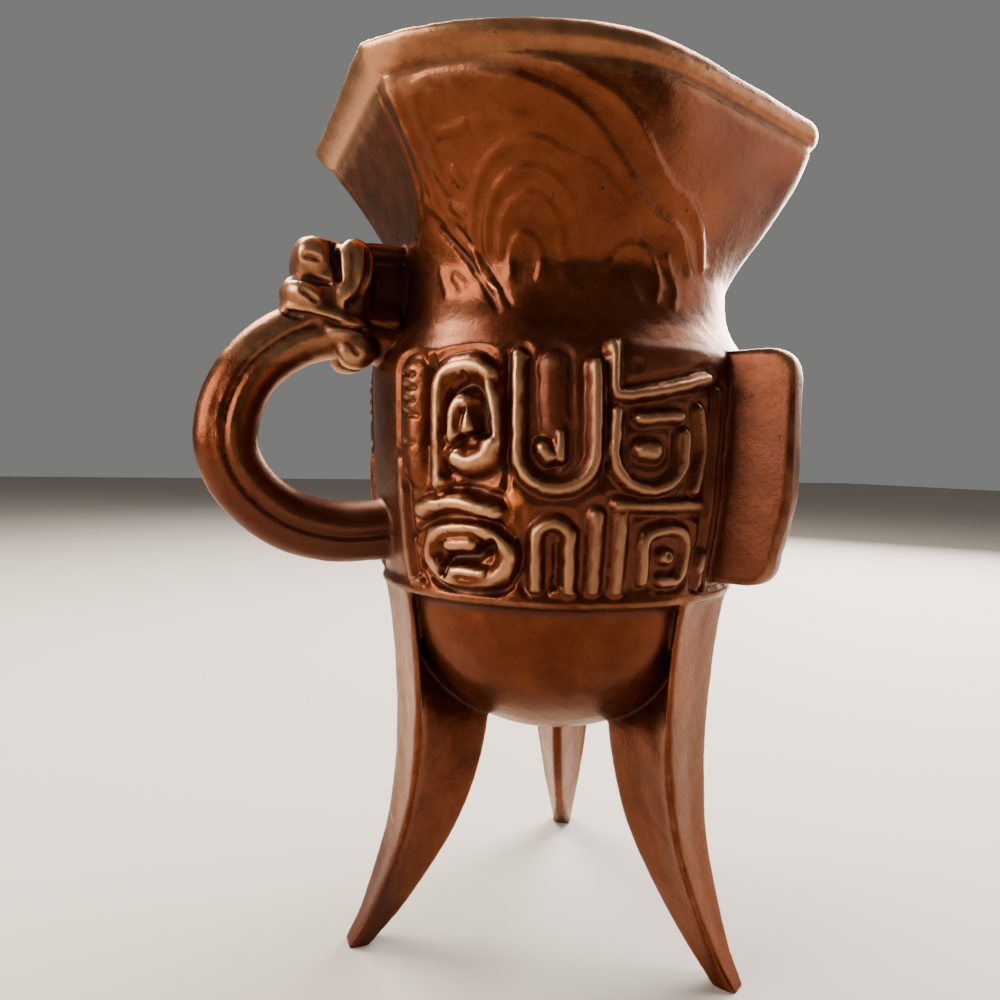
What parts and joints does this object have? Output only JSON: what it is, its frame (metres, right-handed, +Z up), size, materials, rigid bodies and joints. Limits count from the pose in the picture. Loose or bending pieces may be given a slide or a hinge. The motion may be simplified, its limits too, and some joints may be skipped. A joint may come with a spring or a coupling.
{
  "type": "bronze jue wine cup",
  "caption": "Small cast bronze jue cup on three blade legs, with a flared mouth, scroll band, flanges and a loop handle under a beast's head.",
  "frame": {"origin": "centre of the bounding box, on the plane that the three feet stand on", "axes": "+Z up along the cup's axis, -X towards the handle, Y across the flanges"},
  "size_m": [0.1182, 0.095, 0.167],
  "materials": {
    "bronze": "satin, red-brown patina worn coppery on the high points"
  },
  "bodies": {
    "root": {"jue": "bronze"}
  },
  "joints": []
}
